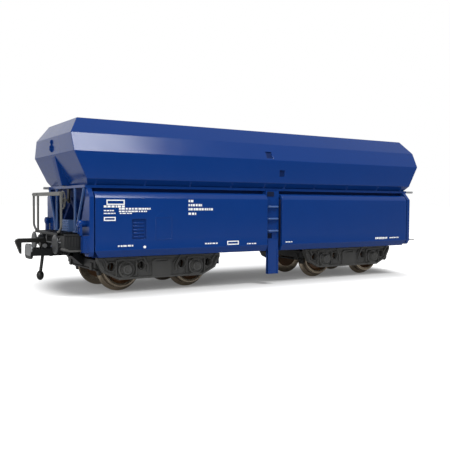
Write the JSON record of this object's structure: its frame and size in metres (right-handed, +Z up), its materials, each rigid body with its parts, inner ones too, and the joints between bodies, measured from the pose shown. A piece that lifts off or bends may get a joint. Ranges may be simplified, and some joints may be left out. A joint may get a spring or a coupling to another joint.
{
  "type": "scale model of a self-discharging hopper wagon",
  "caption": "Small-scale model railway hopper wagon on two bogies: open faceted hopper, hinged side discharge flaps, end platform with railing, buffers and hook couplings.",
  "frame": {"origin": "on the floor under the wagon's centre, at the level where the wheel flanges stand", "axes": "+X along the wagon, away from the platform end; -Y the near side; +Z up"},
  "size_m": [0.139, 0.0366, 0.045],
  "materials": {
    "body_blue": "satin",
    "frame_black": "matte",
    "rail_grey": "satin",
    "buffer_grey": "satin",
    "axle_steel": "satin",
    "bogie_grey": "matte",
    "coupling_dark": "satin",
    "wheel_brown": "satin"
  },
  "bodies": {
    "wagon": {"hopper_side_near": "body_blue", "hopper_side_far": "body_blue", "hopper_end_left": "body_blue", "hopper_end_right": "body_blue", "waist_side_rails": "body_blue", "waist_end_rails": "body_blue", "saddle": "body_blue", "end_slopes": "body_blue", "end_cheeks": "body_blue", "pillars": "body_blue", "ladder_rungs": "body_blue", "discharge_levers": "body_blue", "centre_sill": "frame_black", "body_bolsters": "frame_black", "headstocks": "frame_black", "end_decks": "frame_black", "end_struts": "body_blue", "railing": "rail_grey", "handwheel": "rail_grey", "end_cabinet": "body_blue", "step_box": "frame_black", "latch_shafts": "body_blue", "ledge_pegs": "rail_grey", "buffers_left": "buffer_grey", "buffers_right": "buffer_grey", "king_pins": "axle_steel"},
    "flap_near_left": {"flap_near_left": "body_blue"},
    "flap_near_right": {"flap_near_right": "body_blue"},
    "flap_far_left": {"flap_far_left": "body_blue"},
    "flap_far_right": {"flap_far_right": "body_blue"},
    "bogie_left": {"bogie_left_side_frames": "bogie_grey", "bogie_left_bolster": "bogie_grey", "bogie_left_end_beams": "bogie_grey", "coupling_left": "coupling_dark"},
    "hook_left": {"hook_left": "coupling_dark"},
    "bogie_right": {"bogie_right_side_frames": "bogie_grey", "bogie_right_bolster": "bogie_grey", "bogie_right_end_beams": "bogie_grey", "coupling_right": "coupling_dark"},
    "hook_right": {"hook_right": "coupling_dark"},
    "wheelset_1": {"axle_1": "axle_steel", "wheels_1": "wheel_brown"},
    "wheelset_2": {"axle_2": "axle_steel", "wheels_2": "wheel_brown"},
    "wheelset_3": {"axle_3": "axle_steel", "wheels_3": "wheel_brown"},
    "wheelset_4": {"axle_4": "axle_steel", "wheels_4": "wheel_brown"}
  },
  "joints": [
    {"name": "bogie_left_swivel", "type": "hinge", "parent": "wagon", "child": "bogie_left", "pos_m": [-0.03375, 0, 0.01], "axis": [0, 0, 1], "range_deg": [-8, 8]},
    {"name": "bogie_right_swivel", "type": "hinge", "parent": "wagon", "child": "bogie_right", "pos_m": [0.03375, 0, 0.01], "axis": [0, 0, 1], "range_deg": [-8, 8]},
    {"name": "wheelset_1_turn", "type": "hinge", "parent": "bogie_left", "child": "wheelset_1", "pos_m": [-0.0441, 0, 0.00625], "axis": [0, 1, 0], "continuous": true},
    {"name": "wheelset_2_turn", "type": "hinge", "parent": "bogie_left", "child": "wheelset_2", "pos_m": [-0.0234, 0, 0.00625], "axis": [0, 1, 0], "continuous": true},
    {"name": "wheelset_3_turn", "type": "hinge", "parent": "bogie_right", "child": "wheelset_3", "pos_m": [0.0234, 0, 0.00625], "axis": [0, 1, 0], "continuous": true},
    {"name": "wheelset_4_turn", "type": "hinge", "parent": "bogie_right", "child": "wheelset_4", "pos_m": [0.0441, 0, 0.00625], "axis": [0, 1, 0], "continuous": true},
    {"name": "flap_near_left_open", "type": "hinge", "parent": "wagon", "child": "flap_near_left", "pos_m": [-0.0285, -0.0162, 0.0259], "axis": [-1, 0, 0], "range_deg": [0, 40]},
    {"name": "flap_near_right_open", "type": "hinge", "parent": "wagon", "child": "flap_near_right", "pos_m": [0.0285, -0.0162, 0.0259], "axis": [-1, 0, 0], "range_deg": [0, 40]},
    {"name": "flap_far_left_open", "type": "hinge", "parent": "wagon", "child": "flap_far_left", "pos_m": [-0.0285, 0.0162, 0.0259], "axis": [1, 0, 0], "range_deg": [0, 40]},
    {"name": "flap_far_right_open", "type": "hinge", "parent": "wagon", "child": "flap_far_right", "pos_m": [0.0285, 0.0162, 0.0259], "axis": [1, 0, 0], "range_deg": [0, 40]},
    {"name": "hook_left_lift", "type": "hinge", "parent": "bogie_left", "child": "hook_left", "pos_m": [-0.0622, 0, 0.0123], "axis": [0, 1, 0], "range_deg": [0, 20]},
    {"name": "hook_right_lift", "type": "hinge", "parent": "bogie_right", "child": "hook_right", "pos_m": [0.0622, 0, 0.0123], "axis": [0, -1, 0], "range_deg": [0, 20]}
  ]
}
